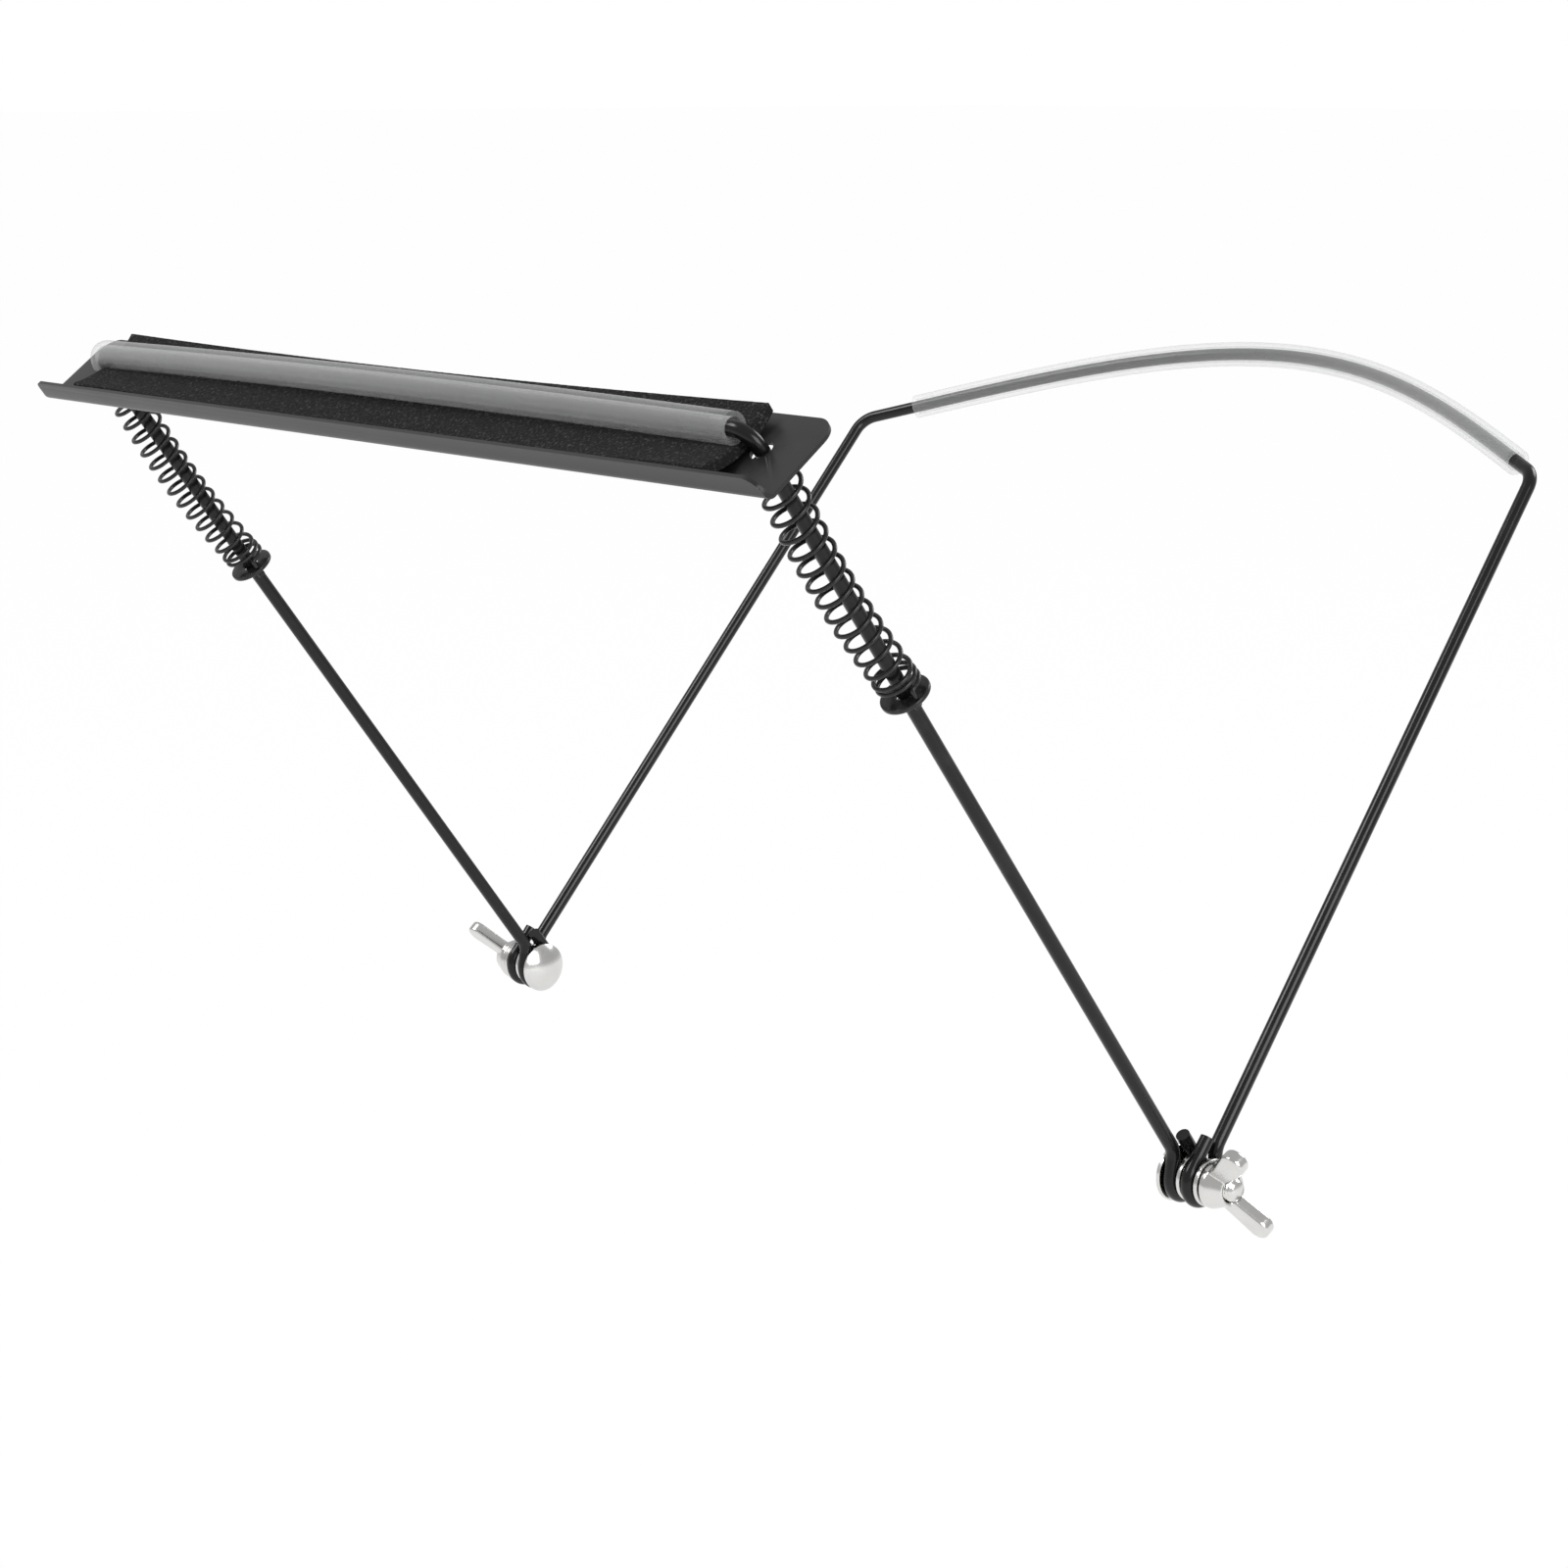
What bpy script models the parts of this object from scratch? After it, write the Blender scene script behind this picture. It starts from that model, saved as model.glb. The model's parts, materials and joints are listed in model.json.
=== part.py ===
"""Harmonica holder: a neck yoke and a harmonica arm, hinged together on two wing-nut bolts.

World frame: metres, +Z up. The origin is the middle of the neck rest, on the inner side of the
neck tube. X runs along the hinge bolts, -Y points to the player's front. The arm leans forward from
the hinge and the yoke leans back, so that the two make an upright V.
"""
import math

import bmesh
import bpy
import numpy as np
from mathutils import Matrix, Quaternion, Vector

MM = 0.001

# Clearances
gap = 0.3 * MM
bore_clearance = 0.3 * MM
eye_clearance = 0.35 * MM
groove_clearance = 0.4 * MM

# Bent rod and soft tube stock
rod_diameter = 3.0 * MM
tube_diameter = 6.0 * MM
tube_wall = 1.0 * MM

# Hinge bolts, washers and the hooked ends of the rods
bolt_diameter = 5.0 * MM
bolt_length = 16.0 * MM
bolt_chamfer = 0.6 * MM
bolt_head_diameter = 12.0 * MM
bolt_head_height = 2.7 * MM
bolt_head_rim = 0.7 * MM
washer_diameter = 10.0 * MM
washer_thickness = 1.0 * MM
hook_stub = 7.6 * MM
hook_lead = math.radians(45)
hook_bend_radius = 4.5 * MM
leg_inset = 0.6 * MM

# Wing nuts
nut_base_diameter = 10.0 * MM
nut_base_thickness = 1.3 * MM
nut_hub_diameter = 7.0 * MM
nut_hub_height = 5.0 * MM
wing_root_reach = 2.9 * MM
wing_root_height = 2.6 * MM
wing_root_radius = 2.1 * MM
wing_tip_reach = 8.6 * MM
wing_tip_height = 8.8 * MM
wing_tip_radius = 2.7 * MM
wing_thickness = 3.0 * MM
wing_edge_radius = 0.6 * MM
nut_turn_right = math.radians(30.0)
nut_turn_left = math.radians(-41.0)

# Harmonica arm
arm_lean = math.radians(36.5)
arm_width = 216.0 * MM
arm_height = 198.8 * MM
arm_corner_radius = 4.5 * MM
crossbar_bow = 1.2 * MM
crossbar_tube_setback = 4.3 * MM
crossbar_tube_lip_tilt = math.radians(7.6)

# Harmonica plate
plate_overhang = 11.7 * MM
plate_thickness = 0.8 * MM
plate_front = 11.3 * MM
plate_rear = 9.3 * MM
plate_fold_radius = 1.0 * MM
plate_corner_radius = 5.0 * MM
flange_height = 5.2 * MM
flange_left_radius = 1.2 * MM
flange_right_radius = 4.4 * MM
plate_hole_diameter = 4.5 * MM

# Foam pad
pad_setback = 3.0 * MM
pad_thickness = 2.3 * MM
pad_pinched = 0.8 * MM
pad_rear = 8.0 * MM
pad_curl = 1.5 * MM

# Springs and the collars that carry them
spring_diameter = 8.8 * MM
spring_wire = 0.9 * MM
spring_sag = 1.7 * MM
spring_curls = 15.5
spring_closed_curls = 2.0
spring_closed_pitch = 1.4 * MM
collar_height = 136.1 * MM
collar_diameter = 10.0 * MM
collar_thickness = 1.0 * MM
ear_width = 4.4 * MM
ear_depth = 1.8 * MM
ear_length = 2.2 * MM

# Neck yoke
yoke_lean = math.radians(39.7)
yoke_twist = math.radians(1.3)
yoke_length = 172.2 * MM
yoke_top_width = 218.4 * MM
yoke_corner_radius = 6.0 * MM
loop_rise = 41.4 * MM
loop_tilt = math.radians(22.2)
loop_fullness = 0.25
neck_tube_setback = 10.35 * MM
neck_tube_shift = 3.2 * MM

# How finely round shapes are drawn
bend_step = math.radians(22.5)
turned_steps = 24
loop_points = 27
crossbar_points = 11
curl_points = 10
pad_cells = (14, 16)

# Sizes that follow from the driving ones
rod_radius = rod_diameter / 2
tube_radius = tube_diameter / 2
arm_half = arm_width / 2
plate_length = arm_width + 2 * plate_overhang
pad_length = arm_width - 2 * pad_setback
hook_radius = bolt_diameter / 2 + eye_clearance + rod_radius
inner_washer_x = arm_half + rod_radius + gap
yoke_half = inner_washer_x + washer_thickness + gap + rod_radius
outer_washer_x = yoke_half + rod_radius + gap
nut_x = outer_washer_x + washer_thickness + gap
bolt_head_x = arm_half - rod_radius - gap
yoke_top_half = yoke_top_width / 2
plate_top = arm_height - tube_radius - gap - pad_pinched - gap
spring_bottom = collar_height + collar_thickness / 2 + gap
spring_top = plate_top - plate_thickness - gap
rest_depth = loop_rise - tube_radius
hinge_down = (
    (yoke_length + rest_depth * math.cos(loop_tilt)) * math.cos(yoke_lean)
    - rest_depth * math.sin(loop_tilt) * math.sin(yoke_lean)
)
hinge_forward = (
    (yoke_length + rest_depth * math.cos(loop_tilt)) * math.sin(yoke_lean)
    + rest_depth * math.sin(loop_tilt) * math.cos(yoke_lean)
)


def new_collection(name):
    collection = bpy.data.collections.new(name)
    bpy.context.scene.collection.children.link(collection)
    return collection


def new_material(name, colour, roughness, metallic, alpha=1.0):
    material = bpy.data.materials.new(name)
    material.use_nodes = True
    shader = material.node_tree.nodes["Principled BSDF"]
    shader.inputs["Base Color"].default_value = (*colour, 1.0)
    shader.inputs["Roughness"].default_value = roughness
    shader.inputs["Metallic"].default_value = metallic
    shader.inputs["Alpha"].default_value = alpha
    return material


def place(thing, parent=None, location=(0, 0, 0), rotation=(0, 0, 0)):
    thing.parent = parent
    thing.location = location
    thing.rotation_euler = rotation
    return thing


def add_part(name, data, material):
    thing = bpy.data.objects.new(name, data)
    data.materials.append(material)
    holder.objects.link(thing)
    return thing


def add_cutter(name, data):
    thing = bpy.data.objects.new(name, data)
    thing.hide_render = True
    thing.display_type = "WIRE"
    cutters.objects.link(thing)
    return thing


def add_empty(name, parent, location, rotation=(0, 0, 0)):
    thing = bpy.data.objects.new(name, None)
    thing.empty_display_size = 0.02
    holder.objects.link(thing)
    return place(thing, parent, location, rotation)


def add_boolean(thing, operation, cutter):
    modifier = thing.modifiers.new(cutter.name, "BOOLEAN")
    modifier.operation = operation
    modifier.object = cutter


def shade(mesh, angle=math.radians(40)):
    mesh.shade_smooth()
    mesh.set_sharp_from_angle(angle=angle)


def arc(centre, radius, start, end, step=bend_step):
    """Points of an arc in a plane, as pairs."""
    count = max(2, math.ceil(abs(end - start) / step))
    angles = [start + (end - start) * i / count for i in range(count + 1)]
    return [(centre[0] + radius * math.cos(a), centre[1] + radius * math.sin(a)) for a in angles]


def rounded(corners):
    """A line through (point, bend radius) pairs, with an arc in place of each bent corner."""
    points = [Vector(point) for point, radius in corners]
    line = [points[0]]
    for before, corner, after, (_, radius) in zip(points, points[1:], points[2:], corners[1:]):
        if radius == 0:
            line.append(corner)
            continue
        into = (corner - before).normalized()
        out = (after - corner).normalized()
        turn = into.angle(out)
        axis = into.cross(out).normalized()
        start = corner - into * radius * math.tan(turn / 2)
        centre = start + axis.cross(into) * radius
        steps = max(2, math.ceil(turn / bend_step))
        for i in range(steps + 1):
            line.append(centre + Quaternion(axis, turn * i / steps) @ (start - centre))
    line.append(points[-1])
    return line


def wire_curve(name, line, radius, resolution, capped=True):
    """A round wire along a line, as a curve."""
    curve = bpy.data.curves.new(name, "CURVE")
    curve.dimensions = "3D"
    curve.bevel_depth = radius
    curve.bevel_resolution = resolution
    curve.use_fill_caps = capped
    spline = curve.splines.new("POLY")
    spline.points.add(len(line) - 1)
    for point, place_on_line in zip(spline.points, line):
        point.co = (*place_on_line, 1.0)
    return curve


def outline_curve(name, outline, thickness, edge_radius=0.0, closed=True):
    """A flat outline in XY, filled and thick along Z, with rounded edges if asked."""
    curve = bpy.data.curves.new(name, "CURVE")
    curve.dimensions = "2D"
    curve.fill_mode = "BOTH"
    curve.extrude = thickness / 2 - edge_radius
    curve.bevel_depth = edge_radius
    curve.bevel_resolution = 1
    curve.offset = -edge_radius
    spline = curve.splines.new("POLY")
    spline.points.add(len(outline) - 1)
    spline.use_cyclic_u = closed
    for point, (across, up) in zip(spline.points, outline):
        point.co = (across, up, 0.0, 1.0)
    return curve


def mesh_from_curve(curve):
    """The curve's mesh with its caps welded on; the curve itself is removed."""
    name = curve.name
    carrier = bpy.data.objects.new(name + "_curve", curve)
    bpy.context.scene.collection.objects.link(carrier)
    graph = bpy.context.evaluated_depsgraph_get()
    mesh = bpy.data.meshes.new_from_object(carrier.evaluated_get(graph))
    bpy.data.objects.remove(carrier)
    bpy.data.curves.remove(curve)
    shape = bmesh.new()
    shape.from_mesh(mesh)
    bmesh.ops.remove_doubles(shape, verts=shape.verts, dist=0.001 * MM)
    bmesh.ops.recalc_face_normals(shape, faces=shape.faces)
    shape.to_mesh(mesh)
    shape.free()
    mesh.name = name
    mesh.materials.clear()
    shade(mesh)
    return mesh


def box_mesh(name, size):
    shape = bmesh.new()
    bmesh.ops.create_cube(shape, size=1.0)
    bmesh.ops.scale(shape, vec=size, verts=shape.verts)
    mesh = bpy.data.meshes.new(name)
    shape.to_mesh(mesh)
    shape.free()
    return mesh


def cylinder_mesh(name, radius, height):
    shape = bmesh.new()
    bmesh.ops.create_cone(
        shape, cap_ends=True, segments=turned_steps, radius1=radius, radius2=radius, depth=height
    )
    mesh = bpy.data.meshes.new(name)
    shape.to_mesh(mesh)
    shape.free()
    shade(mesh)
    return mesh


def turned_mesh(name, profile, closed):
    """The half profile of a turned piece, as (radius, height) pairs down its outer side."""
    shape = bmesh.new()
    points = [shape.verts.new((radius, 0, height)) for radius, height in profile]
    pairs = list(zip(points, points[1:]))
    if closed:
        pairs.append((points[-1], points[0]))
    for pair in pairs:
        shape.edges.new(pair)
    mesh = bpy.data.meshes.new(name)
    shape.to_mesh(mesh)
    shape.free()
    return mesh


def add_screw(thing):
    screw = thing.modifiers.new("turned", "SCREW")
    screw.axis = "Z"
    screw.angle = math.tau
    screw.steps = turned_steps
    screw.render_steps = turned_steps
    screw.use_merge_vertices = True
    screw.merge_threshold = 0.01 * MM
    return thing


def ring_profile(outer, bore, bottom, top):
    return [(outer, top), (outer, bottom), (bore, bottom), (bore, top)]


# Rod shapes: hooks at the hinge, then legs, corners and bars

def hook_line(side_x, inward):
    """The hooked rod end round a bolt, from its cut stub to the leg, as (point, radius) pairs."""
    stub = [(hook_radius, hook_stub), (hook_radius, hook_radius / 2)]
    under = arc((0, 0), hook_radius, 0, -math.pi - hook_lead)
    last_y, last_z = under[-1]
    lift = (leg_inset - last_y) / math.tan(hook_lead)
    outline = stub + under
    corners = [((side_x, inward * y, z), 0.0) for y, z in outline]
    corners.append(((side_x, inward * leg_inset, last_z + lift), hook_bend_radius))
    return corners


def crossbar_z(x):
    return arm_height + crossbar_bow * (1 - (x / arm_half) ** 2)


def crossbar_line():
    """Points along the bowed crossbar between its two bends, from left to right."""
    reach = arm_half - 2 * arm_corner_radius
    stations = [reach * (2 * i / (crossbar_points - 1) - 1) for i in range(crossbar_points)]
    return [((x, leg_inset, crossbar_z(x)), 0.0) for x in stations]


def arm_line():
    left = hook_line(-arm_half, 1)
    right = hook_line(arm_half, 1)
    corner_left = ((-arm_half, leg_inset, arm_height), arm_corner_radius)
    corner_right = ((arm_half, leg_inset, arm_height), arm_corner_radius)
    return rounded(left + [corner_left] + crossbar_line() + [corner_right] + right[::-1])


def crossbar_tube_line():
    """The soft tube's centre: square end at the right, and down round the bend at the left."""
    end_x = arm_half - crossbar_tube_setback
    right_end = ((end_x, leg_inset, crossbar_z(end_x)), 0.0)
    corner_left = ((-arm_half, leg_inset, arm_height), arm_corner_radius)
    left_end = ((-arm_half, leg_inset, arm_height - 2 * arm_corner_radius), 0.0)
    return rounded([left_end, corner_left] + crossbar_line() + [right_end])


def loop_height(x):
    """Height of the neck loop above its corners, along its own tilted plane."""
    share = (x / yoke_top_half) ** 2
    return loop_rise * (1 - share) * (1 - loop_fullness * share)


def on_loop(x):
    height = loop_height(x)
    return (x, height * math.sin(loop_tilt), yoke_length + height * math.cos(loop_tilt))


def twisted(line):
    """Turns each point about the hinge in proportion to X, as the clamped yoke is racked."""
    return [Quaternion((1, 0, 0), yoke_twist * p.x / yoke_half) @ p for p in line]


def yoke_line():
    left = hook_line(-yoke_half, -1)
    right = hook_line(yoke_half, -1)
    reach = yoke_top_half - 2 * yoke_corner_radius
    stations = [reach * (2 * i / (loop_points - 1) - 1) for i in range(loop_points)]
    corner_left = (on_loop(-yoke_top_half), yoke_corner_radius)
    corner_right = (on_loop(yoke_top_half), yoke_corner_radius)
    loop = [(on_loop(x), 0.0) for x in stations]
    return twisted(rounded(left + [corner_left] + loop + [corner_right] + right[::-1]))


def neck_tube_line():
    half = yoke_top_half - neck_tube_setback
    stations = [neck_tube_shift + half * (2 * i / (loop_points - 1) - 1) for i in range(loop_points)]
    return twisted([Vector(on_loop(x)) for x in stations])


def add_soft_tube(name, line, parent):
    """A soft tube with its bore: an open round skin, made solid by its wall."""
    mesh = mesh_from_curve(wire_curve(name, line, tube_radius, 4, capped=False))
    tube = place(add_part(name, mesh, clear_vinyl), parent)
    wall = tube.modifiers.new("wall", "SOLIDIFY")
    wall.thickness = tube_wall
    wall.offset = -1
    wall.use_even_offset = True
    return tube


# Springs

def spring_line():
    """A right-handed compression spring with closed curls on its collar and a straight lead each end.

    It sags forward between its ends, because it is wider than its rod.
    """
    radius = (spring_diameter - spring_wire) / 2
    lead = spring_wire
    first = spring_bottom + 2 * lead
    last = spring_top - 2 * lead
    closed = spring_closed_curls
    open_pitch = (last - first - closed * spring_closed_pitch) / (spring_curls - closed)
    count = round(spring_curls * curl_points)
    helix = []
    for i in range(count + 1):
        curl = i / curl_points
        height = first + min(curl, closed) * spring_closed_pitch + max(curl - closed, 0) * open_pitch
        angle = math.tau * curl
        sag = spring_sag * math.sin(math.pi * (height - first) / (last - first))
        helix.append(Vector((radius * math.cos(angle), radius * math.sin(angle) - sag, height)))
    low_corner = helix[0] - (helix[1] - helix[0]).normalized() * lead
    high_corner = helix[-1] + (helix[-1] - helix[-2]).normalized() * lead
    low_end = Vector((low_corner.x, low_corner.y, spring_bottom))
    high_end = Vector((high_corner.x, high_corner.y, spring_top))
    corners = [(low_end, 0.0), (low_corner, lead * 0.8)]
    corners += [(point, 0.0) for point in helix]
    corners += [(high_corner, lead * 0.8), (high_end, 0.0)]
    return rounded(corners)


def least_spring_gap(line):
    """The least clear distance between parts of the wire more than half a curl apart."""
    points = np.array([tuple(point) for point in line])
    steps = np.linalg.norm(np.diff(points, axis=0), axis=1)
    along = np.concatenate([[0.0], np.cumsum(steps)])
    half_curl = math.pi * (spring_diameter - spring_wire) / 2
    apart = np.linalg.norm(points[:, None] - points[None, :], axis=2)
    far_along = np.abs(along[:, None] - along[None, :]) > half_curl
    return float(apart[far_along].min()) - spring_wire


def add_springs():
    line = spring_line()
    print("least gap between the spring's own curls, mm:", round(least_spring_gap(line) / MM, 2))
    for side, x in (("left", -arm_half), ("right", arm_half)):
        name = "spring_" + side
        mesh = mesh_from_curve(wire_curve(name, line, spring_wire / 2, 1))
        place(add_part(name, mesh, black_steel), arm_axis, (x, leg_inset, 0))


def add_spring_collars():
    bore = rod_radius + bore_clearance
    profile = ring_profile(collar_diameter / 2, bore, -collar_thickness / 2, collar_thickness / 2)
    for side, x in (("left", -arm_half), ("right", arm_half)):
        name = "spring_collar_" + side
        mesh = turned_mesh(name, profile, closed=True)
        collar = add_screw(add_part(name, mesh, black_steel))
        place(collar, arm_axis, (x, leg_inset, collar_height))


# Frames and tubes

def add_yoke():
    mesh = mesh_from_curve(wire_curve("neck_yoke_rod", yoke_line(), rod_radius, 2))
    place(add_part("neck_yoke_rod", mesh, black_enamel), yoke_axis)
    add_soft_tube("neck_tube", neck_tube_line(), yoke_axis)


def add_arm_frame():
    """The arm's rod, with the pinched ears that stop the spring collars."""
    mesh = mesh_from_curve(wire_curve("arm_frame_rod", arm_line(), rod_radius, 2))
    frame = place(add_part("arm_frame_rod", mesh, black_enamel), arm_axis)
    ear_top = collar_height - collar_thickness / 2 - gap
    for side, x in (("left", -arm_half), ("right", arm_half)):
        ears = add_cutter("ears_" + side, box_mesh("ears_" + side, (ear_width, ear_depth, ear_length)))
        place(ears, arm_axis, (x, leg_inset, ear_top - ear_length / 2))
        add_boolean(frame, "UNION", ears)


def add_crossbar_tube():
    """The tube on the crossbar; its left end is cut on a slant, clear of the plate."""
    tube = add_soft_tube("crossbar_tube", crossbar_tube_line(), arm_axis)
    bend_x = -arm_half + arm_corner_radius
    lip_z = arm_height - tube_radius
    knife_size = 4 * tube_diameter
    knife = add_cutter("tube_end_knife", box_mesh("tube_end_knife", (knife_size,) * 3))
    half = knife_size / 2
    turn = crossbar_tube_lip_tilt
    centre_x = bend_x - half * math.cos(turn) - half * math.sin(turn)
    centre_z = lip_z + half * math.sin(turn) - half * math.cos(turn)
    place(knife, arm_axis, (centre_x, leg_inset, centre_z), (0, turn, 0))
    add_boolean(tube, "DIFFERENCE", knife)


# Plate and pad

def plate_profile():
    """The folded sheet's outer line in (front, up): up the flange, round the fold, to the rear edge."""
    underside = -plate_thickness
    radius = plate_fold_radius + plate_thickness
    centre = (plate_front - radius, underside + radius)
    fold = arc(centre, radius, 0, -math.pi / 2)
    return [(plate_front, underside + flange_height)] + fold + [(-plate_rear, underside)]


def corner_cut(width, depth, left_radius, right_radius, square_front):
    """A rectangle round the middle with two round corners at its far side and two square ones."""
    half = width / 2
    right = arc((half - right_radius, depth - right_radius), right_radius, 0, math.pi / 2)
    left = arc((left_radius - half, depth - left_radius), left_radius, math.pi / 2, math.pi)
    return [(half, -square_front)] + right + left + [(-half, -square_front)]


def add_plate():
    """The folded sheet that carries the harmonica, with a hole for each leg of the arm."""
    mesh = mesh_from_curve(outline_curve("harmonica_plate", plate_profile(), plate_length, closed=False))
    mesh.transform(Matrix(((0, 0, -1, 0), (-1, 0, 0, 0), (0, 1, 0, 0), (0, 0, 0, 1))))
    plate = place(add_part("harmonica_plate", mesh, black_powder_coat), plate_axis)
    sheet = plate.modifiers.new("sheet", "SOLIDIFY")
    sheet.thickness = plate_thickness
    sheet.offset = -1
    sheet.use_even_offset = True
    reach = 2 * plate_length
    plan = corner_cut(plate_length, plate_rear, plate_corner_radius, plate_corner_radius, reach)
    plan_prism = add_cutter("plan", mesh_from_curve(outline_curve("plan", plan, reach)))
    place(plan_prism, plate_axis)
    add_boolean(plate, "INTERSECT", plan_prism)
    rise = flange_height - plate_thickness
    front = corner_cut(plate_length, rise, flange_left_radius, flange_right_radius, reach)
    front_prism = add_cutter("front", mesh_from_curve(outline_curve("front", front, reach)))
    place(front_prism, plate_axis, (0, 0, 0), (math.pi / 2, 0, 0))
    add_boolean(plate, "INTERSECT", front_prism)
    for side, x in (("left", -arm_half), ("right", arm_half)):
        name = "leg_hole_" + side
        drill = add_cutter(name, cylinder_mesh(name, plate_hole_diameter / 2, 10 * plate_thickness))
        place(drill, plate_axis, (x, 0, 0))
        add_boolean(plate, "DIFFERENCE", drill)


def pad_heights(x, y):
    """Lower and upper height of the pad over the plate, pressed into a groove by the crossbar tube."""
    curl = pad_curl * (x / arm_half) ** 2
    low = gap + curl * (y / pad_rear) ** 2
    high = low + pad_thickness
    reach = tube_radius + groove_clearance
    if abs(y) < reach:
        tube_bottom = crossbar_z(x) - plate_top - math.sqrt(reach ** 2 - y ** 2)
        high = min(high, tube_bottom)
    return low, high


def add_pad():
    """The foam strip: a grid at its lower face, raised to its upper face, then shaped by height."""
    front = plate_front - plate_thickness - gap
    width = front + pad_rear
    shape = bmesh.new()
    bmesh.ops.create_grid(shape, x_segments=pad_cells[0], y_segments=pad_cells[1], size=0.5)
    for vert in shape.verts:
        vert.co.x *= pad_length
        vert.co.y = vert.co.y * width + (pad_rear - front) / 2
    raised = bmesh.ops.extrude_face_region(shape, geom=shape.faces[:])
    upper = {item for item in raised["geom"] if isinstance(item, bmesh.types.BMVert)}
    for vert in shape.verts:
        low, high = pad_heights(vert.co.x, vert.co.y)
        vert.co.z = high if vert in upper else low
    bmesh.ops.recalc_face_normals(shape, faces=shape.faces)
    mesh = bpy.data.meshes.new("foam_pad")
    shape.to_mesh(mesh)
    shape.free()
    shade(mesh, math.radians(35))
    place(add_part("foam_pad", mesh, black_foam), plate_axis)


# Hinge hardware, each on its own axis, which points outward from the holder's middle

def bolt_profile():
    """A domed head below, then the shank up to its chamfered end."""
    dome_height = bolt_head_height - bolt_head_rim
    head_radius = bolt_head_diameter / 2
    dome_radius = (head_radius ** 2 + dome_height ** 2) / (2 * dome_height)
    span = math.asin(head_radius / dome_radius)
    centre = (0, dome_radius - bolt_head_height)
    dome = arc(centre, dome_radius, span - math.pi / 2, -math.pi / 2, span / 5)
    shank_radius = bolt_diameter / 2
    shank = [
        (0, bolt_length),
        (shank_radius - bolt_chamfer, bolt_length),
        (shank_radius, bolt_length - bolt_chamfer),
        (shank_radius, 0),
        (head_radius, 0),
    ]
    return shank + dome[:-1] + [(0, -bolt_head_height)]


def nut_profile():
    base = nut_base_diameter / 2
    hub = nut_hub_diameter / 2
    bore = bolt_diameter / 2 + bore_clearance
    return [(hub, nut_hub_height), (base, nut_base_thickness), (base, 0), (bore, 0), (bore, nut_hub_height)]


def wing_outline():
    """One wing in (reach, height): a small round root in the hub and a larger round tip."""
    root = Vector((wing_root_reach, wing_root_height))
    tip = Vector((wing_tip_reach, wing_tip_height))
    along = tip - root
    heading = math.atan2(along.y, along.x)
    flare = math.acos((wing_root_radius - wing_tip_radius) / along.length)
    far = arc(tip, wing_tip_radius, heading - flare, heading + flare)
    near = arc(root, wing_root_radius, heading + flare, heading + math.tau - flare)
    return far + near


def add_wing_nut(side, parent, turn):
    name = "wing_nut_" + side
    nut = add_screw(add_part(name, turned_mesh(name, nut_profile(), closed=True), nickel))
    place(nut, parent, (0, 0, nut_x), (0, 0, turn))
    for half, angle in (("a", 0.0), ("b", math.pi)):
        wing_name = name + "_wing_" + half
        curve = outline_curve(wing_name, wing_outline(), wing_thickness, wing_edge_radius)
        wing = add_cutter(wing_name, mesh_from_curve(curve))
        stand = add_empty(wing_name + "_stand", nut, (0, 0, 0), (0, 0, angle))
        place(wing, stand, (0, 0, 0), (math.pi / 2, 0, 0))
        add_boolean(nut, "UNION", wing)
    bore = bolt_diameter / 2 + bore_clearance
    drill = add_cutter(name + "_bore", cylinder_mesh(name + "_bore", bore, 6 * nut_hub_height))
    place(drill, nut)
    add_boolean(nut, "DIFFERENCE", drill)


def add_hinge(side, parent, nut_turn):
    bolt = add_screw(add_part("bolt_" + side, turned_mesh("bolt_" + side, bolt_profile(), False), nickel))
    place(bolt, parent, (0, 0, bolt_head_x))
    bore = bolt_diameter / 2 + bore_clearance
    profile = ring_profile(washer_diameter / 2, bore, 0, washer_thickness)
    for place_name, height in (("inner_washer_", inner_washer_x), ("outer_washer_", outer_washer_x)):
        name = place_name + side
        washer = add_screw(add_part(name, turned_mesh(name, profile, closed=True), nickel))
        place(washer, parent, (0, 0, height))
    add_wing_nut(side, parent, nut_turn)


for old in list(bpy.data.objects):
    bpy.data.objects.remove(old)

holder = new_collection("harmonica_holder")
cutters = new_collection("cutters")

black_enamel = new_material("black_enamel", (0.018, 0.018, 0.019), 0.25, 0.0)
black_powder_coat = new_material("black_powder_coat", (0.025, 0.025, 0.026), 0.35, 0.0)
black_steel = new_material("black_steel", (0.015, 0.015, 0.016), 0.3, 0.6)
black_foam = new_material("black_foam", (0.012, 0.012, 0.013), 0.95, 0.0)
clear_vinyl = new_material("clear_vinyl", (0.82, 0.83, 0.83), 0.2, 0.0, 0.45)
nickel = new_material("nickel", (0.78, 0.78, 0.77), 0.2, 1.0)

hinge = add_empty("hinge_axis", None, (0, -hinge_forward, -hinge_down))
yoke_axis = add_empty("yoke_axis", hinge, (0, 0, 0), (-yoke_lean, 0, 0))
arm_axis = add_empty("arm_axis", hinge, (0, 0, 0), (arm_lean, 0, 0))
plate_axis = add_empty("plate_axis", arm_axis, (0, leg_inset, plate_top))
bolt_axis_left = add_empty("bolt_axis_left", hinge, (0, 0, 0), (0, -math.pi / 2, 0))
bolt_axis_right = add_empty("bolt_axis_right", hinge, (0, 0, 0), (0, math.pi / 2, 0))

add_yoke()
add_arm_frame()
add_crossbar_tube()
add_plate()
add_pad()
add_spring_collars()
add_springs()
add_hinge("left", bolt_axis_left, nut_turn_left)
add_hinge("right", bolt_axis_right, nut_turn_right)
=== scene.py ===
import json
import math

import bmesh
import bpy
from mathutils import Matrix, Quaternion, Vector, noise


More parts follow.
